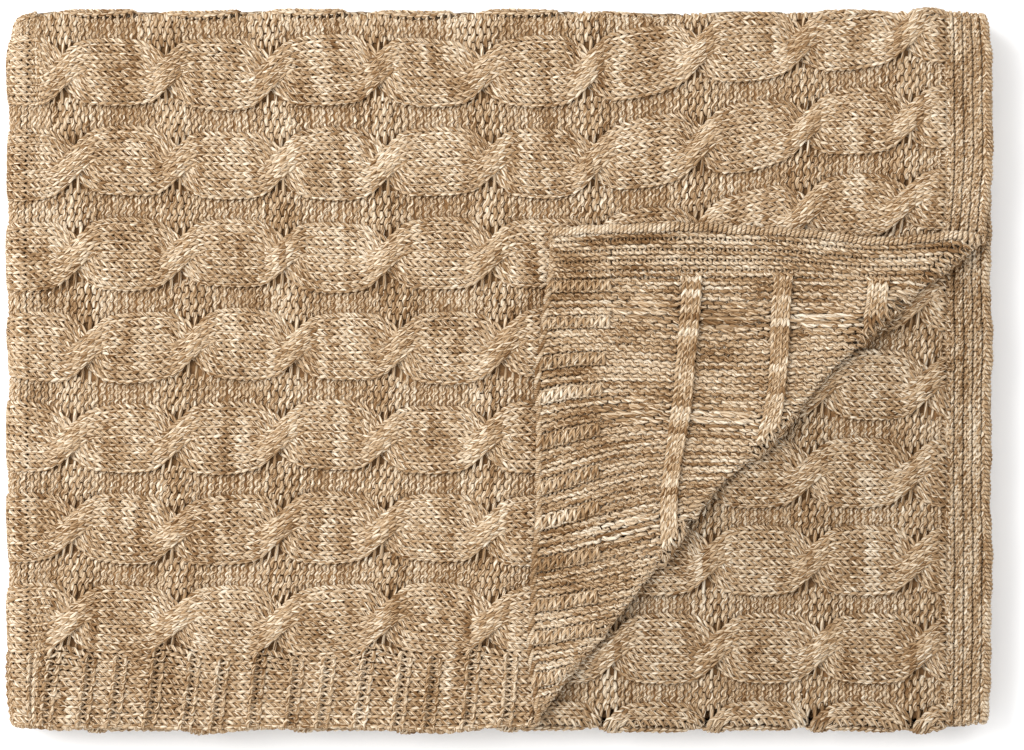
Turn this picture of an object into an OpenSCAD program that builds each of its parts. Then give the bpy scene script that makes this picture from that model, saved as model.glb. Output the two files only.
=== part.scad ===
// Folded cable-knit throw blanket, lying flat with one corner of its top layer turned back.
// The sheet is folded in thirds front to back, then the long strip is folded in a zigzag of three.
// Frame: origin at the centre of the footprint on the floor, +X to the garter end, +Y to the back fold, +Z up.

/* [Folded size] */
// Width of the folded throw, from the left fold to the garter end
fold_width = 595; // [520:5:700]
// Depth of the folded throw, from the front fold to the back fold
fold_depth = 435; // [410:5:520]

/* [Knit] */
// Thickness of one layer of knit
layer = 4.1; // [3:0.1:5]
// Clear space between two layers that lie on each other
gap = 0.3; // [0.2:0.05:0.4]
// Sideways slit where a panel ends beside a fold, a border or the crease
slit = 0.2; // [0.15:0.05:0.3]

/* [Borders] */
// Width of the garter stitch band at both ends of the sheet
garter_width = 23; // [15:1:32]
// Width of the ribbed band along both long sides of the sheet
side_width = 41; // [30:1:50]
// How far the hidden free edge of the near panels stops short of the back fold
near_short = 35; // [20:1:60]
// How far the free edge of the far panels stops short of the front fold
far_short = 1; // [0.5:0.5:4]

/* [Turned-back corner] */
// Where the crease passes, to the right of the middle
crease_x = 150.6; // [140:0.2:160]
// Where the crease passes, in front of the middle
crease_y = -58.9; // [-66:0.1:-52]
// Angle of the crease from the front edge
crease_angle = 47.4; // [45:0.1:50]
// Back edge of the turned-back corner, behind the middle
flap_back = 84; // [76:1:90]
// Depth of the garter band on the turned-back corner
flap_garter_depth = 28; // [20:1:34]
// Right edge of the side border on the turned-back corner, right of the middle
flap_side_x = 64; // [58:1:72]

/* [Hidden] */
// One layer and the space above it
pitch = layer + gap;
// Number of layers in one strip
strip_layers = 3;
// Floor of each strip
low_z = 0;
mid_z = strip_layers * pitch;
top_z = 2 * strip_layers * pitch;
flap_z = 3 * strip_layers * pitch;
// Axes of the two folds between the strips, halfway through the space between two strips
right_axis_z = mid_z - gap / 2;
left_axis_z = top_z - gap / 2;
// Outer radius of a fold of three, two and one layers
fold_r = strip_layers * pitch - gap / 2;
left_axis_x = fold_r - fold_width / 2;
right_axis_x = fold_width / 2 - fold_r;
// The back fold goes round the near panel, and the front fold doesn't
back_inner = layer / 2 + gap;
back_outer = back_inner + layer;
front_inner = gap / 2;
front_outer = front_inner + layer;
back_axis_y = fold_depth / 2 - back_outer;
front_axis_y = front_outer - fold_depth / 2;
far_front_y = far_short - fold_depth / 2;
near_back_y = fold_depth / 2 - near_short;
// Free ends of the sheet: right end of the top strip and left end of the bottom strip
free_end = fold_width / 2 - gap;
garter_start = free_end - garter_width;
// The crease bend is round and goes through the space between the top layer and the turned-back corner
crease_axis_z = flap_z - gap / 2;
crease_dir = [cos(crease_angle), sin(crease_angle)];
// The corner's tip lies this far behind the free edge, and the crease runs this far past the corner's back edge
tip_inset = 12;
crease_over = 2.5;
// Points where the crease passes the free edge of the far panel and the back edge of the corner
crease_front = (far_front_y + tip_inset - crease_y) / crease_dir.y;
crease_back = (flap_back + crease_over - crease_y) / crease_dir.y;
// Left edge of the corner, from its back end to its tip
flap_left = [[34, flap_back], [22, 0], [17, -150]];
// Ends of the panels beside the two side folds
left_end = left_axis_x + slit;
right_end = right_axis_x - slit;
// Distance from a side fold's axis to the middle of the near panel, which the back fold goes round
turn_reach = gap / 2 + pitch + layer / 2;
// Larger than the folded throw, for cutting
big = 2 * fold_width;

// Colours
oatmeal = [0.73, 0.62, 0.50];
oatmeal_shade = [0.67, 0.56, 0.45];
garter_tone = [0.69, 0.59, 0.49];
side_tone = [0.71, 0.60, 0.49];
wrong_side = [0.69, 0.58, 0.47];
fold_tone = [0.64, 0.53, 0.42];

// A flat piece of one layer, from x0 to x1 and y0 to y1, with its underside at z
module sheet(x0, x1, y0, y1, z) {
  translate([x0, y0, z]) cube([x1 - x0, y1 - y0, layer]);
}

// Height of a layer in a strip. The middle strip lies upside down, so its far panel is lowest
function far_z(strip) = (strip == mid_z) ? strip : strip + 2 * pitch;
function near_z(strip) = strip + pitch;
function centre_z(strip) = (strip == mid_z) ? strip + 2 * pitch : strip;

// Everything on the lower right side of the crease, moved sideways by shift
module beyond_crease(shift) {
  translate([crease_x, crease_y, 0])
    rotate([0, 0, crease_angle])
      translate([-big, -big + shift, -big])
        cube([2 * big, big, 2 * big]);
}

// The three panels between their borders
module far_panel(strip, x0, x1) {
  sheet(x0, x1, far_front_y + side_width + slit, back_axis_y, far_z(strip));
}

module near_panel(strip, x0, x1) {
  sheet(x0, x1, front_axis_y, near_back_y - side_width - slit, near_z(strip));
}

module centre_panel(strip, x0, x1) {
  sheet(x0, x1, front_axis_y, back_axis_y, centre_z(strip));
}

// The side borders, along the free edges of the far and the near panels
module far_border(strip, x0, x1) {
  sheet(x0, x1, far_front_y, far_front_y + side_width, far_z(strip));
}

module near_border(strip, x0, x1) {
  sheet(x0, x1, near_back_y - side_width, near_back_y, near_z(strip));
}

// Half of a round bend in the YZ plane, bulging to the back
module half_ring(outer, inner) {
  intersection() {
    difference() {
      circle(r = outer, $fn = 96);
      circle(r = inner, $fn = 96);
    }
    translate([-outer, 0]) square([2 * outer, outer]);
  }
}

// A straight half-round bend along X, from x0 to x1, with its axis at y and z. It bulges to the back if way is 1
module fold_along_x(x0, x1, y, z, way, outer, inner) {
  translate([x0, y, z])
    rotate([90, 0, 90])
      mirror([(way > 0) ? 0 : 1, 0, 0])
        rotate([0, 0, -90])
          linear_extrude(height = x1 - x0) half_ring(outer, inner);
}

module back_fold(strip, x0, x1) {
  fold_along_x(x0, x1, back_axis_y + slit / 2, near_z(strip) + layer / 2, 1, back_outer, back_inner);
}

// The front fold joins the near and the centre panels
module front_fold(strip, x0, x1) {
  axis_z = max(near_z(strip), centre_z(strip)) - gap / 2;
  fold_along_x(x0, x1, front_axis_y - slit / 2, axis_z, -1, front_outer, front_inner);
}

// Half-round bend of one layer along Y. way is 1 for the right fold and -1 for the left fold
module side_bend(way, inner, y0, y1) {
  axis_x = (way > 0) ? right_axis_x : left_axis_x;
  axis_z = (way > 0) ? right_axis_z : left_axis_z;
  translate([axis_x, y1, axis_z])
    rotate([90, 0, 0])
      rotate([0, 0, (way > 0) ? -90 : 90])
        linear_extrude(height = y1 - y0) half_ring(inner + layer, inner);
}

// A fold that goes round a side fold with it: its half ring is turned about the side fold's axis
module side_turn(way, reach, y, bulge, outer, inner) {
  axis_x = (way > 0) ? right_axis_x : left_axis_x;
  axis_z = (way > 0) ? right_axis_z : left_axis_z;
  translate([axis_x, y, axis_z])
    rotate([-90, 0, 0])
      rotate([0, 0, (way > 0) ? -90 : 90])
        rotate_extrude(angle = 180, $fn = 96)
          translate([reach, 0])
            mirror([0, (bulge > 0) ? 0 : 1])
              half_ring(outer, inner);
}

// The turned-back corner, cut clear of the crease
module flap_outline(x0, x1, y0, y1) {
  difference() {
    translate([0, 0, flap_z])
      linear_extrude(height = layer)
        intersection() {
          polygon(concat(flap_left, [[flap_left[2].x, far_front_y], [free_end, far_front_y], [free_end, flap_back]]));
          translate([x0, y0]) square([x1 - x0, y1 - y0]);
        }
    beyond_crease(slit);
  }
}

// The panels of each strip. The top strip's stop at the garter on the right, the bottom strip's on the left
module top_far_panel() {
  color(oatmeal)
    difference() {
      far_panel(top_z, left_end, garter_start - slit);
      beyond_crease(slit);
    }
}

module top_near_panel() {
  color(oatmeal_shade) near_panel(top_z, left_end, garter_start - slit);
}

module top_centre_panel() {
  color(oatmeal_shade) centre_panel(top_z, left_end, garter_start - slit);
}

module top_back_fold() {
  color(fold_tone) back_fold(top_z, left_end, free_end);
}

module top_front_fold() {
  color(fold_tone) front_fold(top_z, left_end, free_end);
}

module top_far_border() {
  color(side_tone)
    difference() {
      far_border(top_z, left_end, garter_start - slit);
      beyond_crease(slit);
    }
}

module top_near_border() {
  color(side_tone) near_border(top_z, left_end, garter_start - slit);
}

module top_far_garter() {
  color(garter_tone)
    difference() {
      sheet(garter_start, free_end, far_front_y, back_axis_y, far_z(top_z));
      beyond_crease(slit);
    }
}

module top_near_garter() {
  color(garter_tone) sheet(garter_start, free_end, front_axis_y, near_back_y, near_z(top_z));
}

module top_centre_garter() {
  color(garter_tone) sheet(garter_start, free_end, front_axis_y, back_axis_y, centre_z(top_z));
}

module mid_far_panel() {
  color(oatmeal_shade) far_panel(mid_z, left_end, right_end);
}

module mid_near_panel() {
  color(oatmeal_shade) near_panel(mid_z, left_end, right_end);
}

module mid_centre_panel() {
  color(oatmeal_shade) centre_panel(mid_z, left_end, right_end);
}

module mid_back_fold() {
  color(fold_tone) back_fold(mid_z, left_end, right_end);
}

module mid_front_fold() {
  color(fold_tone) front_fold(mid_z, left_end, right_end);
}

module mid_far_border() {
  color(side_tone) far_border(mid_z, left_end, right_end);
}

module mid_near_border() {
  color(side_tone) near_border(mid_z, left_end, right_end);
}

module low_far_panel() {
  color(oatmeal_shade) far_panel(low_z, slit - garter_start, right_end);
}

module low_near_panel() {
  color(oatmeal_shade) near_panel(low_z, slit - garter_start, right_end);
}

module low_centre_panel() {
  color(oatmeal_shade) centre_panel(low_z, slit - garter_start, right_end);
}

module low_back_fold() {
  color(fold_tone) back_fold(low_z, -free_end, right_end);
}

module low_front_fold() {
  color(fold_tone) front_fold(low_z, -free_end, right_end);
}

module low_far_border() {
  color(side_tone) far_border(low_z, slit - garter_start, right_end);
}

module low_near_border() {
  color(side_tone) near_border(low_z, slit - garter_start, right_end);
}

module low_far_garter() {
  color(garter_tone) sheet(-free_end, -garter_start, far_front_y, back_axis_y, far_z(low_z));
}

module low_near_garter() {
  color(garter_tone) sheet(-free_end, -garter_start, front_axis_y, near_back_y, near_z(low_z));
}

module low_centre_garter() {
  color(garter_tone) sheet(-free_end, -garter_start, front_axis_y, back_axis_y, centre_z(low_z));
}

// The left fold joins the top strip to the middle strip, with the centre panels innermost
module left_centre_bend() {
  color(fold_tone) side_bend(-1, gap / 2, front_axis_y, back_axis_y);
}

module left_near_bend() {
  color(fold_tone) side_bend(-1, gap / 2 + pitch, front_axis_y, near_back_y);
}

module left_far_bend() {
  color(fold_tone) side_bend(-1, gap / 2 + 2 * pitch, far_front_y, back_axis_y);
}

module left_back_turn() {
  color(fold_tone) side_turn(-1, turn_reach, back_axis_y + slit / 2, 1, back_outer, back_inner);
}

module left_front_turn() {
  color(fold_tone) side_turn(-1, pitch, front_axis_y - slit / 2, -1, front_outer, front_inner);
}

// The right fold joins the middle strip to the bottom strip, with the far panels innermost
module right_far_bend() {
  color(fold_tone) side_bend(1, gap / 2, far_front_y, back_axis_y);
}

module right_near_bend() {
  color(fold_tone) side_bend(1, gap / 2 + pitch, front_axis_y, near_back_y);
}

module right_centre_bend() {
  color(fold_tone) side_bend(1, gap / 2 + 2 * pitch, front_axis_y, back_axis_y);
}

module right_back_turn() {
  color(fold_tone) side_turn(1, turn_reach, back_axis_y + slit / 2, 1, back_outer, back_inner);
}

module right_front_turn() {
  color(fold_tone) side_turn(1, 2 * pitch, front_axis_y - slit / 2, -1, front_outer, front_inner);
}

module corner_flap() {
  color(wrong_side) flap_outline(flap_side_x + slit, big, -big, flap_back - flap_garter_depth - slit);
}

module corner_garter() {
  color(garter_tone) flap_outline(-big, big, flap_back - flap_garter_depth, flap_back);
}

module corner_border() {
  color(side_tone) flap_outline(-big, flap_side_x, -big, flap_back - flap_garter_depth - slit);
}

module crease_bend() {
  color(oatmeal)
    translate([crease_x, crease_y, crease_axis_z])
      rotate([0, 0, crease_angle])
        fold_along_x(crease_front, crease_back, 0, 0, -1, front_outer, front_inner);
}

top_far_panel();
top_near_panel();
top_centre_panel();
top_back_fold();
top_front_fold();
top_far_border();
top_near_border();
top_far_garter();
top_near_garter();
top_centre_garter();
mid_far_panel();
mid_near_panel();
mid_centre_panel();
mid_back_fold();
mid_front_fold();
mid_far_border();
mid_near_border();
low_far_panel();
low_near_panel();
low_centre_panel();
low_back_fold();
low_front_fold();
low_far_border();
low_near_border();
low_far_garter();
low_near_garter();
low_centre_garter();
left_far_bend();
left_near_bend();
left_centre_bend();
left_back_turn();
left_front_turn();
right_far_bend();
right_near_bend();
right_centre_bend();
right_back_turn();
right_front_turn();
corner_flap();
corner_garter();
corner_border();
crease_bend();
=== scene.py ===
import bmesh
import bpy
import math
import numpy as np
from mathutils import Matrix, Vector


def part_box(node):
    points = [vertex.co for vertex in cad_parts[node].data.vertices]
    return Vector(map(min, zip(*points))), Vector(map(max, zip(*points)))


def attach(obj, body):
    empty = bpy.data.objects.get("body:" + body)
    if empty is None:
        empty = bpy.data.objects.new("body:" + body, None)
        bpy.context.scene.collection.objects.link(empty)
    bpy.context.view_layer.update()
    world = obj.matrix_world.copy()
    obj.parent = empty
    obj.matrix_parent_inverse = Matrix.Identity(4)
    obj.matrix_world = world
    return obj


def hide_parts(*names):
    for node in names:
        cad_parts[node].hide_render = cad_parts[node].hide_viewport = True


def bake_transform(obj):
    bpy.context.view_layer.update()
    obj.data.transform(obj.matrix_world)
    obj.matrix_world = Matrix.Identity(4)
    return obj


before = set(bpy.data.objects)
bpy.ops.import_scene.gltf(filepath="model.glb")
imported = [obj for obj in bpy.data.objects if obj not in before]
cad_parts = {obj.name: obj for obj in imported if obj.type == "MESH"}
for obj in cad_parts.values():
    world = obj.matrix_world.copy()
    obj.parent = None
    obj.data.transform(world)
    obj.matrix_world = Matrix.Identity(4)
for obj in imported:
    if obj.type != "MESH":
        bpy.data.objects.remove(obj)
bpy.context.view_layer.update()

MM = 0.001

# ---------------------------------------------------------------- camera
# Straight above, a little right and in front of the middle, through a long lens.
CAM_X, CAM_Y, CAM_UP, SEEN_W = 7.8 * MM, -3.6 * MM, 3.0, 0.6164
cam_data = bpy.data.cameras.new("camera")
cam_data.sensor_width = 36.0
cam_data.lens = 36.0 * CAM_UP / SEEN_W
cam_data.dof.use_dof = False
cam_data.clip_end = 100.0
camera = bpy.data.objects.new("camera", cam_data)
camera.location = (CAM_X, CAM_Y, 0.040 + CAM_UP)
bpy.context.scene.collection.objects.link(camera)
bpy.context.scene.camera = camera

# ---------------------------------------------------------------- sizes of the knit, in mm
# A course is one row of stitches, along Y. A wale is one column of them, along X.
COURSE = 4.45            # one course, along X
CROSS_EVERY = 14         # courses between two crosses of a cable
CABLE_WALES, GAP_WALES = 8, 3   # the wales of a cable, and of the purl gap after it
REPEAT = CABLE_WALES + GAP_WALES
ROW = 55.0               # from one cable to the next, along Y
HALF_CABLE = 20.9
STRAND = HALF_CABLE / 2  # half the width of one strand
FIRST_CROSS = -252.2     # X of a cross of the other panels
YARN_R = 1.25
LOWEST = 0.1             # nothing lies lower than this
SLAB_OVER, SLAB_UNDER = 1.5, 2.05   # a hidden panel's two faces, from its middle
SIDES, RINGS = 6, 10     # points round the yarn, and along one stitch
BORDER_WALES = 8         # the side border
RIDGES = (1, 6, 11)      # purl ridges of the side border, in each CROSS_EVERY courses
GARTER = 2.75            # one garter course
GARTER_N = 8             # garter courses at each end
NO_GARTER = 999          # a course past every panel's end
FAR_ROW = -151.2         # Y of the far panel's first cable
NEAR_ROW, NEAR_REPEAT = -168.6, 53.0   # the same for the near panel, and from one cable to the next
NEAR_CROSS = -245.6      # X of a cross of the near panel
TURNED_PINCH = 0.05      # how much a cable's crosses draw in on the turned-back corner

box_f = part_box("top_far_panel")
LEFT_AXIS = box_f[0].x / MM - 0.2
GARTER_X = box_f[1].x / MM + 0.2
RIGHT_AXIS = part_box("mid_far_panel")[1].x / MM + 0.2
BACK_AXIS = box_f[1].y / MM - 1.2
FRONT_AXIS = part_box("top_near_panel")[0].y / MM + 1.0
FREE_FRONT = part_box("top_far_border")[0].y / MM
BORDER_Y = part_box("top_far_border")[1].y / MM
# The middle of each of the nine layers, from the floor up
LAYER_Z = [(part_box(n)[0].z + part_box(n)[1].z) / 2 / MM for n in (
    "low_centre_panel", "low_near_panel", "low_far_panel",
    "mid_far_panel", "mid_near_panel", "mid_centre_panel",
    "top_centre_panel", "top_near_panel", "top_far_panel")]
LEFT_Z = (LAYER_Z[5] + LAYER_Z[6]) / 2
RIGHT_Z = (LAYER_Z[2] + LAYER_Z[3]) / 2
PITCH = LAYER_Z[1] - LAYER_Z[0]

# The crease: where it passes, its direction, the way out of the corner, and its radius
CREASE_ANGLE = math.radians(47.4)
CREASE_AT = np.array([150.6, -58.9])
CREASE_DIR = np.array([math.cos(CREASE_ANGLE), math.sin(CREASE_ANGLE)])
CREASE_OUT = np.array([CREASE_DIR[1], -CREASE_DIR[0]])
CREASE_R = 3.2
CREASE_HALF = 197.0


def smooth(lo, hi, x):
    t = np.clip((x - lo) / (hi - lo), 0, 1)
    return t * t * (3 - 2 * t)


# ---------------------------------------------------------------- where the stitches lie
def cable_place(w, s, before):
    """Sideways place and height of wale w of a cable, s courses from its cross.

    before says that the course was knitted before the cross.
    """
    strand_low = w < CABLE_WALES / 2
    over = np.where(before, strand_low, ~strand_low)
    within = (np.mod(w, CABLE_WALES / 2) - CABLE_WALES / 4) / (CABLE_WALES / 4)
    turn = np.sin(np.clip(s / 3.5, -1, 1) * math.pi / 2)
    at_cross = np.exp(-(s / 2.6) ** 2)
    side = np.where(over, 1.0, -1.0) * STRAND * turn
    y = side + within * STRAND * np.where(over, 1 - 0.02 * at_cross, 1 + 0.22 * at_cross)
    across = np.abs(w - CABLE_WALES / 2) / (CABLE_WALES / 2)
    z = 2.8 - 3.0 * across ** 2.8
    front = z * (1 - at_cross) + at_cross * (4.6 - 2.6 * within ** 2)
    z = np.where(over, front, z - 1.7 * at_cross)
    return y, z


def cable_edge(s, pinch):
    """Half the width of a cable, s courses from a cross: drawn in there, and widest halfway between two."""
    drawn = 3.2 * np.exp(-(s / 2.2) ** 2) + 2.8 * np.cos(s * math.pi / CROSS_EVERY) ** 2
    return HALF_CABLE + 0.4 - pinch * drawn


class Panel:
    """A panel's lattice: course and wale to a place on the flat sheet.

    first_row is the Y of its first cable, row the distance to the next, and cross the X of a cross.
    """

    def __init__(self, first_row, row, cross, border, garter_from, turned_back=False):
        self.first_row, self.row, self.cross, self.border = first_row, row, cross, border
        self.garter_from, self.turned_back = garter_from, turned_back
        self.pinch = TURNED_PINCH if turned_back else 1.0

    def x_of(self, a):
        """X of course a, with the garter courses closer together."""
        x = LEFT_AXIS + COURSE * a
        over = a - self.garter_from
        return np.where(over > 0, LEFT_AXIS + COURSE * self.garter_from + GARTER * over, x)

    def place(self, i, a, b):
        """i is the course, and a and b the course and wale of each point.

        Returns x, y, height, 1 for a knit stitch or -1 for a purl one, and how far open it is drawn.
        """
        k = np.floor((b - BORDER_WALES) / REPEAT) if self.border else np.floor(b / REPEAT)
        start = BORDER_WALES if self.border else 0
        w = b - start - k * REPEAT
        rows = self.first_row + self.row * k
        wander = 0.9 * np.sin(k * 2.4 + 0.7) + 0.5 * np.sin(k * 5.1)
        cross = (self.cross - LEFT_AXIS) / COURSE + wander
        s0 = np.mod(i + 0.5 - cross + CROSS_EVERY / 2, CROSS_EVERY) - CROSS_EVERY / 2
        s = s0 + (a - i) - 0.5
        yc, zc = cable_place(np.clip(w, 0, CABLE_WALES - 1e-3), s, s0 < 0)
        g = (w - CABLE_WALES) / GAP_WALES
        edge_at = cable_edge(s, self.pinch) + (0.9 if self.turned_back else 0.0)
        narrowed = 8.2 if self.turned_back else 3.2
        yc = yc * edge_at / (HALF_CABLE - narrowed * np.exp(-(s / 2.2) ** 2))
        low, high = edge_at, self.row - edge_at
        yg = low + g * (high - low)
        drawn_up = np.maximum(HALF_CABLE - edge_at, 0) / 5.6
        zg = -2.8 + 1.9 * drawn_up
        cable = w < CABLE_WALES
        y = rows + np.where(cable, yc, yg)
        z = np.where(cable, zc, zg)
        kind = np.where(cable, 1.0, -1.0)
        opened = np.where(cable, 0.0, drawn_up)
        garter = smooth(self.garter_from - 2.0, self.garter_from + 0.5, a)
        flat_y = rows - HALF_CABLE + (w / REPEAT) * self.row
        y = y * (1 - garter) + flat_y * garter
        course = np.round(i).astype(int)
        in_garter = i >= self.garter_from
        kind = np.where(in_garter, np.where(course % 2 == 0, -1.0, 1.0), kind)
        ridge_up, ridge_down = (1.4, -1.1) if self.turned_back else (0.25, -0.25)
        z = z * (1 - garter) + garter * np.where(course % 2 == 0, ridge_up, ridge_down)
        if self.border:
            edge = b < BORDER_WALES
            top = self.first_row - HALF_CABLE
            is_ridge = np.isin(np.mod(course, CROSS_EVERY), RIDGES)
            before_ridge = np.isin(np.mod(course + 1, CROSS_EVERY), RIDGES)
            after_ridge = np.isin(np.mod(course - 1, CROSS_EVERY), RIDGES)
            up = b / BORDER_WALES
            y_edge = FREE_FRONT + (top - FREE_FRONT) * up + (HALF_CABLE - edge_at) * np.clip(up, 0, 1) ** 4
            y = np.where(edge, y_edge, y)
            ridge_height = -1.5 if self.turned_back else 1.8
            z_edge = np.where(is_ridge, ridge_height, np.where(before_ridge | after_ridge, 0.15, 0.35))
            ridged = edge & np.logical_not(in_garter)
            z = np.where(ridged, z_edge, z)
            kind = np.where(ridged, np.where(is_ridge, -1.0, 1.0), kind)
            opened = np.where(edge, 0.35, opened)
        x = self.x_of(a)
        return x, y, z, kind, opened


def pulled(x, y):
    """How the top strip's knit is pulled out of true: its rows climb to the right, and its ends bow."""
    climb = smooth(0, 300, x) * (39.5 - 0.067 * y)
    draw = smooth(100, 297, x) * (-12 * np.exp(-((y + 25) / 60) ** 2) + 5 * smooth(-90, -180, y))
    bow = -11 * (np.clip(y, -230, 230) / 180) ** 2 * smooth(330, -200, x) * smooth(-284, -262, x)
    wave = 1.3 * np.sin(x / 31 + y / 47) + 0.9 * np.sin(x / 17 - y / 29)
    inside = smooth(-216, -200, y) * smooth(212, 196, y)
    return x + draw + bow + 0.5 * wave * inside * smooth(300, 200, x), y + climb + wave * inside


def crease_bulge(t):
    """How far the crease lies out from its straight axis, at t along it."""
    return 7.0 - 13.0 * (1 - np.clip(np.abs(t) / CREASE_HALF, 0, 1.15) ** 2) + 1.6 * np.sin(t / 23)


def over_crease(x, y, z, n):
    """Folds the front right corner up and over. Returns the places and the distance past the crease."""
    p = np.stack([x, y], -1) - CREASE_AT
    t = p @ CREASE_DIR
    past = p @ CREASE_OUT - crease_bulge(t)
    turn = np.clip(past / CREASE_R, 0, math.pi)
    back = np.maximum(past - math.pi * CREASE_R, 0)
    r = CREASE_R - n
    out = np.where(past > 0, r * np.sin(turn) - back - past, 0)
    up = np.where(past > 0, CREASE_R - r * np.cos(turn), n)
    return x + out * CREASE_OUT[0], y + out * CREASE_OUT[1], z + up, past


def fold(x, v, n, layer, back=None, front=None, side=None, face=1):
    """A place on a strip's sheet, folded.

    back and front say which layer the sheet goes to round that fold, side is (axis x, axis z, way) of a
    side fold, and face is -1 where the right side faces down.
    """
    z = LAYER_Z[layer]
    y, d = v, z + face * n
    if back is not None:
        r = abs(LAYER_Z[back] - z) / 2
        mid, way = (LAYER_Z[back] + z) / 2, 1 if z > LAYER_Z[back] else -1
        turn = np.clip((v - BACK_AXIS) / r, 0, math.pi)
        rest = np.maximum(v - BACK_AXIS - math.pi * r, 0)
        over = v > BACK_AXIS
        y = np.where(over, BACK_AXIS + (r + n) * np.sin(turn) - rest, y)
        d = np.where(over, mid + way * (r + n) * np.cos(turn), d)
    if front is not None:
        r = abs(LAYER_Z[front] - z) / 2
        mid, way = (LAYER_Z[front] + z) / 2, 1 if z > LAYER_Z[front] else -1
        turn = np.clip((FRONT_AXIS - v) / r, 0, math.pi)
        rest = np.maximum(FRONT_AXIS - v - math.pi * r, 0)
        over = v < FRONT_AXIS
        y = np.where(over, FRONT_AXIS - (r + n) * np.sin(turn) + rest, y)
        d = np.where(over, mid + way * (r + n) * np.cos(turn), d)
    if side is not None:
        axis_x, axis_z, way = side
        reach = abs(z - axis_z)
        turn = np.clip((x - axis_x) * way / reach, 0, math.pi)
        rest = np.maximum((x - axis_x) * way - math.pi * reach, 0)
        over = (x - axis_x) * way > 0
        h = np.abs(d - axis_z)
        sign = 1 if z > axis_z else -1
        x2 = np.where(over, axis_x + way * (h * np.sin(turn) - rest), x)
        d = np.where(over, axis_z + sign * h * np.cos(turn), d)
        x = x2
    return x, y, d


# ---------------------------------------------------------------- yarn
def corners(u0, u1, v0, v1):
    """The four corners of each face in a UV layer."""
    return np.stack([np.stack(c, -1) for c in ((u0, v0), (u0, v1), (u1, v1), (u1, v0))], 1)


class Yarns:
    """Collects yarn paths and makes one mesh of them."""

    def __init__(self):
        self.v, self.f, self.uv, self.runs, self.n = [], [], [], 0, 0

    def add(self, p, up, b, course, thick):
        """Adds a yarn along the points p. b is the wale at each point, and up points away from the sheet."""
        if len(p) < 3:
            return
        tangent = np.gradient(p, axis=0)
        tangent /= np.maximum(np.linalg.norm(tangent, axis=1, keepdims=True), 1e-9)
        side = np.cross(tangent, up)
        side /= np.maximum(np.linalg.norm(side, axis=1, keepdims=True), 1e-9)
        up = np.cross(side, tangent)
        m = len(p)
        angle = np.arange(SIDES) / SIDES * 2 * math.pi
        r = YARN_R * thick
        r[0] *= 0.4
        r[-1] *= 0.4
        cos, sin = np.cos(angle)[None, :, None], np.sin(angle)[None, :, None]
        ring = (cos * side[:, None] + sin * up[:, None]) * r[:, None, None]
        around = (p[:, None] + ring).reshape(-1, 3)
        around[:, 2] = np.maximum(around[:, 2], LOWEST)
        self.v.append(around)
        k = np.arange(m - 1)[:, None] * SIDES
        j = np.arange(SIDES)[None]
        j2 = (j + 1) % SIDES
        quad = np.stack([k + j, k + j2, k + SIDES + j2, k + SIDES + j], -1).reshape(-1, 4)
        self.f.append(quad + self.n)
        u0 = np.repeat(b[:-1], SIDES)
        u1 = np.repeat(b[1:], SIDES)
        v0 = course + np.tile(np.arange(SIDES) / SIDES, m - 1) * 0.98
        v1 = course + np.tile((np.arange(SIDES) + 1) / SIDES, m - 1) * 0.98
        uv = corners(u0, u1, v0, v1)
        along = np.arange(m) / (m - 1)
        w0, w1 = np.repeat(along[:-1], SIDES), np.repeat(along[1:], SIDES)
        h0 = self.runs + 0.04 + 0.92 * np.tile(np.arange(SIDES) / SIDES, m - 1)
        h1 = h0 + 0.92 / SIDES
        self.uv.append((uv, corners(w0, w1, h0, h1)))
        self.runs += 1
        self.n += m * SIDES

    def mesh(self, name, material):
        v, f = np.concatenate(self.v) * MM, np.concatenate(self.f)
        uv = np.concatenate([x[0] for x in self.uv]).reshape(-1, 2)
        bake = np.concatenate([x[1] for x in self.uv]).reshape(-1, 2)
        bake[:, 1] /= self.runs
        return make_mesh(name, v, f, material, (("knit", uv), ("OFBake", bake)))


def make_mesh(name, v, f, material, uvs):
    me = bpy.data.meshes.new(name)
    me.vertices.add(len(v))
    me.vertices.foreach_set("co", v.astype(np.float32).ravel())
    me.loops.add(f.size)
    me.loops.foreach_set("vertex_index", f.astype(np.int32).ravel())
    me.polygons.add(len(f))
    me.polygons.foreach_set("loop_start", np.arange(len(f), dtype=np.int32) * f.shape[1])
    me.update(calc_edges=True)
    me.polygons.foreach_set("use_smooth", np.ones(len(f), bool))
    for layer, values in uvs:
        me.uv_layers.new(name=layer).data.foreach_set("uv", values.astype(np.float32).ravel())
    me.materials.append(material)
    o = bpy.data.objects.new(name, me)
    bpy.context.scene.collection.objects.link(o)
    return o


STEP = np.arange(RINGS) / RINGS * 2 * math.pi
COLOUR_SEED = 300        # courses between the colours of two pieces
FIRST_TURNED = 40        # the turned-back corner holds no course before this


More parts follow.
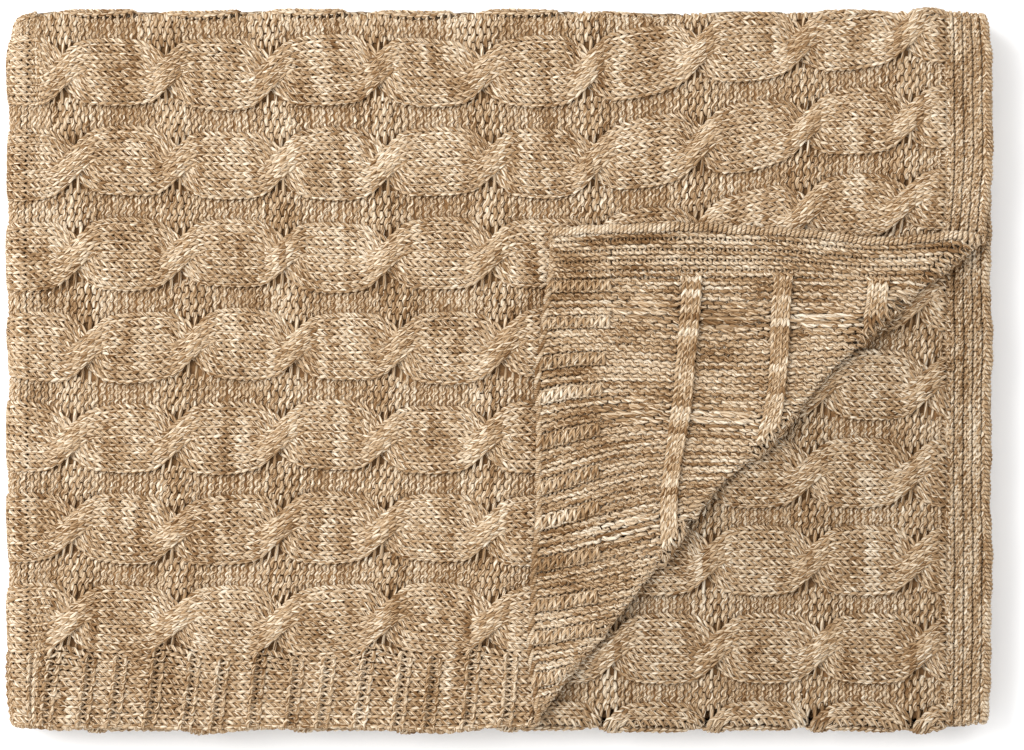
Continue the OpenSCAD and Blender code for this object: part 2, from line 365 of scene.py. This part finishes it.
def course_path(panel, i, b0, b1, seen=1):
    """One course of yarn from wale b0 to b1.

    Returns each point's course, wale, height, wale along the yarn, and thickness. seen is 1 where the
    sheet's right side is in view, and -1 where its wrong side is.
    """
    wales = np.arange(b0, b1)
    t = np.concatenate([(STEP[None] + np.zeros((len(wales), 1))).ravel(), [0.0]])
    w = np.concatenate([np.repeat(wales, RINGS), [b1]]).astype(float)
    inside = np.concatenate([np.repeat(wales + 0.5, RINGS), [b1 - 0.5]])
    kind = panel.place(i, np.full(len(inside), float(i)), inside)[3]
    soft = kind.copy()
    soft[1:-1] = 0.25 * kind[:-2] + 0.5 * kind[1:-1] + 0.25 * kind[2:]
    garter = i >= panel.garter_from
    garter_reach = 0.64 if panel.turned_back else 0.53
    reach = garter_reach if garter else 0.76
    b = w + t / (2 * math.pi) + (0.28 + 0.01 * soft) * np.sin(2 * t)
    c = np.cos(t)
    a = i + reach * c * (1.3 - 0.3 * c * c)
    z = -0.9 * np.cos(2 * t) * soft
    return a, b, z, w + t / (2 * math.pi), 0.8 - 0.17 * np.cos(2 * t) * soft * seen


def lay(x, y, h, z, u, course, shape, into, thick=None):
    """Lays one yarn and shares it out.

    shape turns x, y, the relief's height and the loop's own height into places and each place's region,
    and into holds a Yarns for each region.
    """
    p, label = shape(x, y, h, z)
    q, _ = shape(x, y, h, z + 0.4)
    up = q - p
    thick = np.ones(len(x)) if thick is None else thick
    cut = np.flatnonzero(label[1:] != label[:-1]) + 1
    edges = [0, *cut.tolist(), len(x)]
    for lo, hi in zip(edges[:-1], edges[1:]):
        if label[lo] in into:
            part = slice(max(lo - 1, 0), min(hi + 1, len(x)))
            into[label[lo]].add(p[part], up[part], u[part], course, thick[part].copy())


def knit(panel, courses, b0, b1, shape, into, seed, seen=1):
    """Makes the yarn of these courses, from wale b0 to b1."""
    for i in courses:
        a, b, z, u, thick = course_path(panel, i, b0, b1, seen)
        x, y, h, _, opened = panel.place(float(i), a, b)
        rng = np.random.default_rng(seed * 1000 + int(i) + 50)
        knots = np.arange(0, len(a) + 8, 4)
        jitter = np.interp(np.arange(len(a)), knots, rng.normal(0, 1, len(knots)))
        other = np.interp(np.arange(len(a)), knots, rng.normal(0, 1, len(knots)))
        course = i + 60 + seed * COLOUR_SEED
        thick = thick * (1 + 0.22 * opened)
        lay(x + 0.25 * jitter, y + 0.14 * other, h + 0.1 * other, z, u, course, shape, into, thick)


def selvedge(x0, x1, y, h, shape, into, seed):
    """The chain along a side edge: two strands turning about each other."""
    t = np.arange(x0, x1, 0.7)
    for k in (0, 1):
        phase = 2 * math.pi * t / (2.6 * COURSE) + k * math.pi
        wavy = 0.9 * np.sin(t / 19) + 0.6 * np.sin(t / 7.3 + 1)
        course = 20 + k + seed * COLOUR_SEED
        lay(t, y + wavy + 1.2 * np.cos(phase), h + 0 * t, 1.1 * np.sin(phase), t / 5.2, course, shape, into)


def bound_edge(x, y0, y1, shape, into, seed):
    """The bound-off edge: a yarn wrapped closely along it."""
    y = np.arange(y0, y1, 0.26)
    phase = 2 * math.pi * y / 2.6
    away = 0.4 * np.sin(y / 3.1) + 0.4 * np.sin(y / 11)
    course = 30 + seed * COLOUR_SEED
    lay(x + away + 1.9 * np.cos(phase), y, 0 * y, 1.5 * np.sin(phase) - 0.2, y / 2.6, course, shape, into)


COURSES = int((GARTER_X - LEFT_AXIS) / COURSE)
LAST = COURSES + GARTER_N
END_X = LEFT_AXIS + COURSE * COURSES + GARTER * GARTER_N
LEFT_SIDE, RIGHT_SIDE = (LEFT_AXIS, LEFT_Z, -1), (RIGHT_AXIS, RIGHT_Z, 1)
# The regions that a shape sorts its places into
STRIP, LEFT_BEND, CREASE, CORNER, UNSEEN = 0, 1, 2, 3, 9


def past_crease(x, y):
    """How far a place of the flat sheet lies past the crease."""
    p = np.stack([x, y], -1) - CREASE_AT
    return p @ CREASE_OUT - crease_bulge(p @ CREASE_DIR)


def settle(x, y, z):
    """The pile's own outline: corners a little rounded and edges a little wavy."""
    u = np.clip((np.abs(x) - 257) / 40, 0, 1)
    v = np.clip((np.abs(y) - 178) / 40, 0, 1)
    pull = np.where((x < 0) & (y > 0), 5.0, 2.5) * u ** 2 * v ** 2
    wave_x = 0.45 * np.sin(y / 21 + 1.1) + 0.25 * np.sin(y / 9.4)
    wave_y = 0.6 * np.sin(x / 23 + 0.4) + 0.35 * np.sin(x / 11 + 2)
    x = x - np.sign(x) * pull + wave_x * u
    y = y - np.sign(y) * pull + wave_y * v
    return np.stack([x, y, np.maximum(z, LOWEST)], -1)


def top_shape(x, y, h, z):
    """The top strip's far panel, its turn at the left and its turned-back corner."""
    garter = smooth(GARTER_X - 5, GARTER_X, x)
    late = smooth(GARTER_X - 90, GARTER_X, x)
    before_end = np.clip((END_X - x) / (END_X - GARTER_X), 0, 1)
    longer = late * (3.0 + 5.0 * smooth(-110, -30, y) - 2.5 * before_end)
    sideways = 4.5 * smooth(80, 150, x) + 6.0 * late * np.exp(-((y + 150) / 40) ** 2)
    flatter = 1 - 0.6 * smooth(LEFT_AXIS + 22, LEFT_AXIS + 2, x)
    x, y = pulled(x, y)
    turned = smooth(0, math.pi * CREASE_R, past_crease(x, y))
    x, y = x + longer * turned, y - sideways * turned
    n = h * flatter * (1 - turned * (1 - garter) * np.where(h > 0, 0.75, 0.0)) + z
    fx, fy, fz = fold(x, y, n, 8, back=6, side=LEFT_SIDE)
    cx, cy, cz, past = over_crease(x, y, LAYER_Z[8], n)
    flat = past <= 0
    p = settle(np.where(flat, fx, cx), np.where(flat, fy, cy), np.where(flat, fz, cz))
    label = np.where(past > 0, CREASE, np.where(x < LEFT_AXIS, LEFT_BEND, STRIP))
    return p, np.where(past > math.pi * CREASE_R, CORNER, label)


def near_shape(x, y, h, z):
    """The top strip's near panel, kept only where it shows from outside."""
    fx, fy, fz = fold(x, y, h + z, 7, front=6)
    past = past_crease(x, y)
    shown = (y < FRONT_AXIS + 9) | (past > -16) | (x > GARTER_X)
    return settle(fx, fy, fz), np.where(shown, STRIP, UNSEEN)


def folded_shape(layer, **folds):
    """The shape of a panel in that layer, with its folds."""
    def shape(x, y, h, z):
        fx, fy, fz = fold(x, y, h + z, layer, **folds)
        return settle(fx, fy, fz), np.full(np.shape(x), STRIP)
    return shape


def mirrored(shape):
    """The same shape with its left and right exchanged."""
    return lambda x, y, h, z: shape(-x, y, h, z)


# ---------------------------------------------------------------- materials
def srgb(r, g, b):
    return tuple(((c / 255 + 0.055) / 1.055) ** 2.4 if c > 10 else c / 3294.6 for c in (r, g, b)) + (1.0,)


class Nodes:
    """A node-based material, and short ways to add its nodes."""

    def __init__(self, name):
        self.mat = bpy.data.materials.new(name)
        self.mat.use_nodes = True
        self.t = self.mat.node_tree
        self.p = self.t.nodes["Principled BSDF"]

    def new(self, kind, **values):
        n = self.t.nodes.new(kind)
        for k, v in values.items():
            setattr(n, k, v)
        return n

    def put(self, value, socket):
        if isinstance(value, (int, float)):
            socket.default_value = value
        else:
            self.t.links.new(value, socket)

    def math(self, op, a, b=0.0, c=0.0):
        n = self.new("ShaderNodeMath", operation=op)
        for v, s in zip((a, b, c), n.inputs):
            self.put(v, s)
        return n.outputs[0]

    def vector(self, x, y, z=0.0):
        n = self.new("ShaderNodeCombineXYZ")
        for v, s in zip((x, y, z), n.inputs):
            self.put(v, s)
        return n.outputs[0]

    def noise(self, vector, scale=1.0, detail=2.0):
        n = self.new("ShaderNodeTexNoise")
        self.t.links.new(vector, n.inputs["Vector"])
        n.inputs["Scale"].default_value = scale
        n.inputs["Detail"].default_value = detail
        return n.outputs["Fac"]

    def ramp(self, fac, stops):
        n = self.new("ShaderNodeValToRGB")
        while len(n.color_ramp.elements) < len(stops):
            n.color_ramp.elements.new(0.5)
        for e, (at, colour) in zip(n.color_ramp.elements, stops):
            e.position, e.color = at, colour
        self.t.links.new(fac, n.inputs[0])
        return n.outputs[0]

    def bump(self, height, strength, distance):
        n = self.new("ShaderNodeBump")
        self.t.links.new(height, n.inputs["Height"])
        n.inputs["Strength"].default_value = strength
        n.inputs["Distance"].default_value = distance
        self.t.links.new(n.outputs[0], self.p.inputs["Normal"])


# The marled yarn's colours, from camel to cream
MARL = [(0.25, (122, 88, 54)), (0.42, (182, 148, 109)), (0.56, (222, 197, 164)), (0.76, (250, 236, 213))]
BY_COURSE, BY_PLY = 0.36, 1.3


# A lower tone gives a darker copy of the colours: painted shade on the pieces that lie lower.
def toned(stops, tone):
    return [(at, tuple(c * tone for c in srgb(*rgb)[:3]) + (1.0,)) for at, rgb in stops]


def marl(m, u, course, ply, by_course=BY_COURSE, by_ply=BY_PLY):
    """Cream and camel in streaks along the yarn, from course to course and from ply to ply."""
    def tones(along, across, slice_, detail):
        at = m.vector(m.math("MULTIPLY", u, along), m.math("MULTIPLY", course, across), slice_)
        return m.noise(at, 1.0, detail)

    streak = tones(0.11, 0.37, 3.1, 2.0)
    course_tone = tones(0.11, 2.3, 12.7, 1.0)
    strand = tones(1.7, 3.7, ply, 1.0)
    total = m.math("ADD", m.math("MULTIPLY", streak, 0.45), m.math("MULTIPLY", course_tone, by_course))
    total = m.math("ADD", total, m.math("MULTIPLY", strand, by_ply))
    return m.math("SUBTRACT", total, 0.575 + (by_course - BY_COURSE + by_ply - BY_PLY) / 2)


def shaded(m, colour, fac, stops):
    """The colour, darkened by a ramp of fac: painted shade where fac is low, in the hollows of the yarn and
    the knit.
    """
    mix = m.new("ShaderNodeMix", data_type="RGBA", blend_type="MULTIPLY")
    m.put(1.0, mix.inputs["Factor"])
    m.t.links.new(colour, mix.inputs[6])
    m.t.links.new(m.ramp(fac, stops), mix.inputs[7])
    m.t.links.new(mix.outputs[2], m.p.inputs["Base Color"])


def yarn_material(name, tone, by_course=BY_COURSE, by_ply=BY_PLY):
    """Yarn of three plies that twist about each other, with painted shade in the grooves between the plies.
    """
    m = Nodes(name)
    uv = m.new("ShaderNodeUVMap", uv_map="knit")
    sep = m.new("ShaderNodeSeparateXYZ")
    m.t.links.new(uv.outputs[0], sep.inputs[0])
    u, v = sep.outputs[0], sep.outputs[1]
    course, round_ = m.math("FLOOR", v), m.math("FRACT", v)
    twist = m.math("ADD", round_, m.math("MULTIPLY", u, 2.1))
    plies = m.math("MULTIPLY", m.math("FRACT", twist), 3.0)
    ply = m.math("MULTIPLY", twist, 10.0)
    colour = m.ramp(marl(m, u, course, ply, by_course, by_ply), toned(MARL, tone))
    groove = m.math("ABSOLUTE", m.math("SINE", m.math("MULTIPLY", plies, math.pi)))
    # Painted shade: the grooves between the plies are drawn darker, down to a greyish beige.
    shaded(m, colour, groove, [(0.05, srgb(190, 176, 160)), (0.5, srgb(255, 255, 255))])
    m.p.inputs["Roughness"].default_value = 0.9
    m.p.inputs["Specular IOR Level"].default_value = 0.1
    m.bump(groove, 0.7, 0.35 * MM)
    return m.mat


def shade_backing_material():
    """The knit's inside, seen through the gaps between stitches: a brown darker than the yarn, painted shade
    in those gaps.
    """
    m = Nodes("backing")
    coords = m.new("ShaderNodeTexCoord")
    fac = m.noise(coords.outputs["Object"], 260.0, 3.0)
    colour = m.ramp(fac, [(0.3, srgb(92, 62, 32)), (0.7, srgb(136, 100, 60))])
    m.t.links.new(colour, m.p.inputs["Base Color"])
    m.p.inputs["Roughness"].default_value = 0.95
    m.bump(fac, 0.6, 0.6 * MM)
    return m.mat


def sheet_material(name, tone):
    """Knit on a sheet: rows of Vs, or of bumps where the sheet's kind is purl, with painted shade in the
    hollows between them.
    """
    m = Nodes(name)
    uv = m.new("ShaderNodeUVMap", uv_map="knit")
    sep = m.new("ShaderNodeSeparateXYZ")
    m.t.links.new(uv.outputs[0], sep.inputs[0])
    wale, course = sep.outputs[0], sep.outputs[1]
    kind = m.new("ShaderNodeAttribute", attribute_name="purl").outputs["Fac"]
    across = m.math("FRACT", m.math("ADD", wale, 100.0))
    tri = m.math("ABSOLUTE", m.math("SUBTRACT", m.math("MULTIPLY", across, 2.0), 1.0))
    along = m.math("ADD", m.math("ADD", course, 100.0), m.math("MULTIPLY", tri, 0.5))
    vee = m.math("ABSOLUTE", m.math("SINE", m.math("MULTIPLY", along, math.pi)))
    split = m.math("ABSOLUTE", m.math("SINE", m.math("MULTIPLY", wale, 2 * math.pi)))
    knit_h = m.math("MULTIPLY", m.math("POWER", vee, 0.6), m.math("POWER", split, 0.5))
    shift = m.math("MULTIPLY", m.math("SINE", m.math("MULTIPLY", wale, 2 * math.pi)), 0.2)
    purl_h = m.math("ABSOLUTE", m.math("SINE", m.math("MULTIPLY", m.math("ADD", course, shift), 2 * math.pi)))
    mix = m.new("ShaderNodeMix", data_type="FLOAT")
    m.put(kind, mix.inputs["Factor"])
    m.put(knit_h, mix.inputs["A"])
    m.put(purl_h, mix.inputs["B"])
    height = mix.outputs["Result"]
    row = m.math("FLOOR", along)
    fac = marl(m, wale, row, m.math("MULTIPLY", m.math("FLOOR", m.math("MULTIPLY", wale, 4.0)), 2.3))
    colour = m.ramp(fac, toned(MARL, tone))
    # Painted shade: the low parts between the Vs and bumps are drawn darker.
    shaded(m, colour, height, [(0.1, srgb(110, 92, 76)), (0.6, srgb(255, 255, 255))])
    m.p.inputs["Roughness"].default_value = 0.9
    m.p.inputs["Specular IOR Level"].default_value = 0.2
    m.bump(height, 0.9, 1.0 * MM)
    return m.mat


YARN = yarn_material("marled_yarn", 0.745)
# The near panel's edges and the lower layers' edges lie lower in the pile: a darker copy of the yarn, painted
# shade.
SHADED_YARN = yarn_material("marled_yarn_painted_shade", 0.67)
WRONG = yarn_material("marled_yarn_back", 0.74, 0.8, 1.05)
# The backing's dark brown paints the shade in the gaps between the stitches.
SHADE_BACKING = shade_backing_material()
# The sheets and the stitched insides take darker copies of the yarn colours: painted shade.
SHADED_SHEET = sheet_material("knit_sheet_shaded", 0.6)
SHADED_INSIDE = sheet_material("knit_inside_shaded", 0.5)


# ---------------------------------------------------------------- sheets
def lattice(panel, courses, wales, fine):
    """Points over a panel's courses and wales, fine of them to each, and their faces.

    Returns each point's wale and course, the same from 0 to 1, its place, height and kind, the points'
    numbers and the faces.
    """
    a, b = (np.linspace(lo, hi, max(int(round((hi - lo) * fine)), 3) + 1) for lo, hi in (courses, wales))
    a_at, b_at = (g.ravel() for g in np.meshgrid(a, b, indexing="ij"))
    b_in = np.clip(b_at, wales[0] + 0.01, wales[1] - 0.01)
    x, y, h, kind, _ = panel.place(np.floor(a_at), a_at, b_in)
    idx = np.arange(len(a_at)).reshape(len(a), len(b))
    quads = np.stack([idx[:-1, :-1], idx[1:, :-1], idx[1:, 1:], idx[:-1, 1:]], -1).reshape(-1, 4)
    knit_uv = np.stack([b_at, a_at], -1)
    b_unit = (b_at - wales[0]) / (wales[1] - wales[0])
    a_unit = (a_at - courses[0]) / (courses[1] - courses[0])
    unit = np.stack([b_unit, a_unit], -1)
    return knit_uv, unit, x, y, h, kind, idx, quads


def mark_purl(o, purl):
    """Tells the sheet's material where the stitches are purl."""
    values = o.data.attributes.new("purl", "FLOAT", "POINT").data
    values.foreach_set("value", purl.astype(np.float32))


def backing(name, panel, courses, wales, shape, lift, fine=1, keep=STRIP,
            stitched=False):
    """The inside of the knit, as a thin sheet that carries the yarn pieces; its dark colour is painted shade
    in the gaps between the stitches. keep is the region it covers.
    """
    knit_uv, unit, x, y, h, kind, _, f = lattice(panel, courses, wales, fine)
    p, label = shape(x, y, 0 * h, 0 * h + lift)
    f = f[(label == keep)[f].all(1)]
    used = np.unique(f)
    remap = np.zeros(len(p), int)
    remap[used] = np.arange(len(used))
    uvs = (("knit", knit_uv[f].reshape(-1, 2)), ("OFBake", unit[f].reshape(-1, 2)))
    o = make_mesh(name, p[used] * MM, remap[f], SHADED_INSIDE if stitched else SHADE_BACKING, uvs)
    if stitched:
        mark_purl(o, np.where(kind < 0, 1.0, 0.0)[used])
    return o


def slab(name, panel, courses, wales, shape, share=0.5, fine=2):
    """A panel as a closed sheet: a share of the cables' relief on its right side, and a flat wrong side."""
    knit_uv, unit, x, y, h, kind, idx, f = lattice(panel, courses, wales, fine)
    over, _ = shape(x, y, h * share, 0 * h + SLAB_OVER)
    under, _ = shape(x, y, 0 * h, 0 * h - SLAB_UNDER)
    n = len(x)
    rim = np.concatenate([idx[:-1, 0], idx[-1, :-1], idx[:0:-1, -1], idx[0, :0:-1]])
    nxt = np.roll(rim, -1)
    walls = np.stack([rim, rim + n, nxt + n, nxt], -1)
    faces = np.concatenate([f, f[:, ::-1] + n, walls])
    uv = np.concatenate([knit_uv[part].reshape(-1, 2) for part in (f, f[:, ::-1], walls % n)])
    unit = unit * [0.49, 0.95]
    run = np.arange(len(rim)) / len(rim)
    step = 1 / len(rim)
    wall_uv = corners(run, run + step, 0 * run + 0.96, 0 * run + 1.0)
    beside = unit + [0.505, 0]
    bake = np.concatenate([part.reshape(-1, 2) for part in (unit[f], beside[f[:, ::-1]], wall_uv)])
    o = make_mesh(name, np.concatenate([over, under]) * MM, faces, SHADED_SHEET, (("knit", uv), ("OFBake", bake)))
    purl = np.where(kind < 0, 1.0, 0.0)
    mark_purl(o, np.concatenate([purl, 1 - purl]))
    mesh = bmesh.new()
    mesh.from_mesh(o.data)
    bmesh.ops.recalc_face_normals(mesh, faces=mesh.faces)
    mesh.to_mesh(o.data)
    mesh.free()
    return o


CENTRE_ROW = FRONT_AXIS + HALF_CABLE
far = Panel(FAR_ROW, ROW, FIRST_CROSS, True, COURSES)
near = Panel(NEAR_ROW, NEAR_REPEAT, NEAR_CROSS, False, COURSES)
centre = Panel(CENTRE_ROW, ROW, FIRST_CROSS, False, COURSES)
flap_panel = Panel(FAR_ROW, ROW, FIRST_CROSS, True, COURSES, turned_back=True)
mid_far = Panel(FAR_ROW, ROW, FIRST_CROSS, True, NO_GARTER)
mid_near = Panel(NEAR_ROW, NEAR_REPEAT, FIRST_CROSS, False, NO_GARTER)
mid_centre = Panel(CENTRE_ROW, ROW, FIRST_CROSS, False, NO_GARTER)
MID_COURSES = (RIGHT_AXIS - LEFT_AXIS) / COURSE
NEAR_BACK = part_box("top_near_border")[1].y / MM
BACK_R, FRONT_R = PITCH, PITCH / 2


def far_wale(y):
    """The far panel's wale at y."""
    return BORDER_WALES + (y - BORDER_Y) / ROW * REPEAT


def near_wale(y):
    """The near panel's wale at y."""
    return (y - (near.first_row - HALF_CABLE)) / near.row * REPEAT


# The wales that each panel runs between: the far one from 0, round the back fold, and the near one from
# round the front fold to its own end
FAR_TOP = int(far_wale(BACK_AXIS + math.pi * BACK_R)) + 1
NEAR_LOW = int(near_wale(FRONT_AXIS - math.pi * FRONT_R)) - 1
NEAR_HIGH = int(near_wale(NEAR_BACK))
CENTRE_TOP = (BACK_AXIS - FRONT_AXIS) / ROW * REPEAT
FAR, NEAR, CENTRE = (0, FAR_TOP), (NEAR_LOW, NEAR_HIGH), (0, CENTRE_TOP)


# ---------------------------------------------------------------- knit pieces
top, left, crease, flap, nearby, low_edges, mid_edges = (Yarns() for _ in range(7))
into_top = {STRIP: top, LEFT_BEND: left, CREASE: crease, CORNER: flap}
knit(far, range(-8, 0), *FAR, top_shape, {STRIP: left, LEFT_BEND: left}, 1)
knit(far, range(0, LAST), *FAR, top_shape, {STRIP: top, LEFT_BEND: top, CREASE: crease}, 1)
knit(flap_panel, range(FIRST_TURNED, LAST), *FAR, top_shape, {CORNER: flap}, 1, seen=-1)
selvedge(LEFT_AXIS - 34, END_X, FREE_FRONT + 1.0, -0.4, top_shape, into_top, 1)
bound_edge(END_X + 0.6, FREE_FRONT, BACK_AXIS + 12, top_shape, into_top, 1)
knit(near, range(0, LAST), *NEAR, near_shape, {STRIP: nearby}, 2)
bound_edge(END_X + 0.6, FRONT_AXIS - 6, NEAR_BACK, near_shape, {STRIP: nearby}, 2)

centre_top_shape = folded_shape(6, face=-1)
low_far_shape = mirrored(folded_shape(2, back=0))
low_near_shape = mirrored(folded_shape(1, front=0))
low_centre_shape = mirrored(folded_shape(0, face=-1))
mid_far_shape = folded_shape(3, back=5, face=-1)
mid_near_shape = folded_shape(4, front=5, face=-1)
mid_centre_shape = folded_shape(5)
bound_edge(END_X + 0.6, FRONT_AXIS, BACK_AXIS, centre_top_shape, {STRIP: top}, 3)
bound_edge(END_X + 0.6, FREE_FRONT, BACK_AXIS + 12, low_far_shape, {STRIP: low_edges}, 4)
bound_edge(END_X + 0.6, FRONT_AXIS - 6, NEAR_BACK, low_near_shape, {STRIP: low_edges}, 5)
bound_edge(END_X + 0.6, FRONT_AXIS, BACK_AXIS, low_centre_shape, {STRIP: low_edges}, 6)
selvedge(LEFT_AXIS, END_X, FREE_FRONT + 1.0, 0.0, low_far_shape, {STRIP: low_edges}, 7)
selvedge(LEFT_AXIS, RIGHT_AXIS, FREE_FRONT + 1.0, 0.0, mid_far_shape, {STRIP: mid_edges}, 8)

top_o = top.mesh("top_far_knit", YARN)
left_o = left.mesh("left_far_knit", YARN)
crease_o = crease.mesh("crease_knit", YARN)
flap_o = flap.mesh("corner_knit", WRONG)
near_o = nearby.mesh("top_near_knit", SHADED_YARN)
low_edge_o = low_edges.mesh("low_edge_knit", SHADED_YARN)
mid_edge_o = mid_edges.mesh("mid_edge_knit", SHADED_YARN)

# ---------------------------------------------------------------- backings and hidden panels
WHOLE, MID = (0, LAST), (0, MID_COURSES)
low_centre_o = slab("low_centre_sheet", centre, WHOLE, CENTRE, low_centre_shape, share=0.1, fine=1)
low_near_o = slab("low_near_sheet", near, WHOLE, NEAR, low_near_shape, fine=1)
low_far_o = slab("low_far_sheet", far, WHOLE, FAR, low_far_shape)
mid_far_o = slab("mid_far_sheet", mid_far, MID, FAR, mid_far_shape)
mid_near_o = slab("mid_near_sheet", mid_near, MID, NEAR, mid_near_shape, fine=1)
mid_centre_o = slab("mid_centre_sheet", mid_centre, MID, CENTRE, mid_centre_shape)
top_centre_o = slab("top_centre_sheet", centre, WHOLE, CENTRE, centre_top_shape)
near_back = backing("top_near_backing", near, WHOLE, NEAR, folded_shape(7, front=6), -2.2)
top_back = backing("top_far_backing", far, WHOLE, FAR, top_shape, -2.2)
flap_back = backing("corner_backing", far, WHOLE, FAR, top_shape, 1.0, keep=CORNER,
                    stitched=True)
crease_back = backing("crease_backing", far, WHOLE, FAR, top_shape, 0.4, fine=3, keep=CREASE,
                      stitched=True)

# ---------------------------------------------------------------- the turns round the left and right folds
LEFT_R = {k: abs(LAYER_Z[k] - LEFT_Z) for k in (6, 7, 8)}
RIGHT_R = {k: abs(LAYER_Z[k] - RIGHT_Z) for k in (0, 1, 2)}


def ring(reach, more=0):
    """The courses that turn round a side fold, and a little more at both ends."""
    return -math.pi * reach / COURSE - more, more


left_far_shape = folded_shape(8, back=6, side=LEFT_SIDE)
left_near_shape = folded_shape(7, front=6, side=LEFT_SIDE)
left_centre_shape = folded_shape(6, side=LEFT_SIDE, face=-1)
right_far_shape = mirrored(folded_shape(2, back=0, side=RIGHT_SIDE))
right_near_shape = mirrored(folded_shape(1, front=0, side=RIGHT_SIDE))
right_centre_shape = mirrored(folded_shape(0, side=RIGHT_SIDE, face=-1))
left_back = backing("left_far_backing", far, ring(LEFT_R[8]), FAR, left_far_shape, -1.9, fine=2)
left_near_o = slab("left_near_sheet", near, ring(LEFT_R[7]), NEAR, left_near_shape, share=0.3)
left_centre_o = slab("left_centre_sheet", centre, ring(LEFT_R[6], 0.5), CENTRE, left_centre_shape, share=0.2)
right_far_o = slab("right_far_sheet", far, ring(RIGHT_R[2], 0.5), FAR, right_far_shape, share=0.2)
right_near_o = slab("right_near_sheet", near, ring(RIGHT_R[1]), NEAR, right_near_shape, share=0.3)
right_centre_o = slab("right_centre_sheet", centre, ring(RIGHT_R[0]), CENTRE, right_centre_shape)

# ---------------------------------------------------------------- which body each piece moves with
for o in (top_o, near_o, top_back, near_back, top_centre_o):
    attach(o, "top_strip")
for o in (flap_o, flap_back):
    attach(o, "corner_turn_back")
for o in (mid_far_o, mid_near_o, mid_centre_o, mid_edge_o):
    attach(o, "middle_strip")
for o in (low_far_o, low_near_o, low_centre_o, low_edge_o):
    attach(o, "bottom_strip")


def blend_ring(o):
    """Bakes a turn's place into its mesh."""
    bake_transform(o)


for o, k in ((left_o, 8), (left_back, 8), (left_near_o, 7), (left_centre_o, 6)):
    blend_ring(o)
for o, k in ((right_far_o, 2), (right_near_o, 1), (right_centre_o, 0)):
    blend_ring(o)
for o in (crease_o, crease_back):
    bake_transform(o)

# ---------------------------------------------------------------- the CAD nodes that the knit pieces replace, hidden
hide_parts("top_far_panel", "top_far_border", "top_far_garter", "top_back_fold")
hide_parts("top_near_panel", "top_near_border", "top_near_garter", "top_front_fold")
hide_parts("top_centre_panel", "top_centre_garter")
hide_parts("corner_flap", "corner_garter", "corner_border")
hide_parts("crease_bend")
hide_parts("mid_far_panel", "mid_far_border", "mid_back_fold")
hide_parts("mid_near_panel", "mid_near_border", "mid_front_fold")
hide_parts("mid_centre_panel")
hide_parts("low_far_panel", "low_far_border", "low_far_garter", "low_back_fold")
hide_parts("low_near_panel", "low_near_border", "low_near_garter", "low_front_fold")
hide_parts("low_centre_panel", "low_centre_garter")
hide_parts("left_far_bend", "left_back_turn")
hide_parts("left_near_bend", "left_front_turn")
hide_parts("left_centre_bend")
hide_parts("right_far_bend", "right_back_turn")
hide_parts("right_near_bend", "right_front_turn")
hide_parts("right_centre_bend")

# ---------------------------------------------------------------- room
floor_mesh = bpy.data.meshes.new("floor")
floor_mesh.from_pydata([(-4, -4, 0), (4, -4, 0), (4, 4, 0), (-4, 4, 0)], [], [(0, 1, 2, 3)])
floor = bpy.data.objects.new("floor", floor_mesh)
floor.location.z = -0.0005
bpy.context.scene.collection.objects.link(floor)
white = Nodes("floor_white")
white.p.inputs["Base Color"].default_value = (0.95, 0.95, 0.95, 1)
white.p.inputs["Roughness"].default_value = 0.9
white.p.inputs["Specular IOR Level"].default_value = 0.1
floor_mesh.materials.append(white.mat)

world = bpy.data.worlds.new("world")
bpy.context.scene.world = world
world.use_nodes = True
world.node_tree.nodes["Background"].inputs[0].default_value = (1, 1, 1, 1)
world.node_tree.nodes["Background"].inputs[1].default_value = 1.14


def area_light(name, place, size, power):
    data = bpy.data.lights.new(name, "AREA")
    data.size, data.energy = size, power
    o = bpy.data.objects.new(name, data)
    o.location = place
    o.rotation_euler = (-Vector(place)).to_track_quat("-Z", "Y").to_euler()
    bpy.context.scene.collection.objects.link(o)


area_light("key", (-1.8, 0.9, 2.5), 1.8, 96)
scene = bpy.context.scene
scene.view_settings.view_transform = "Standard"
scene.view_settings.look = "None"
scene.view_settings.exposure = 0.0
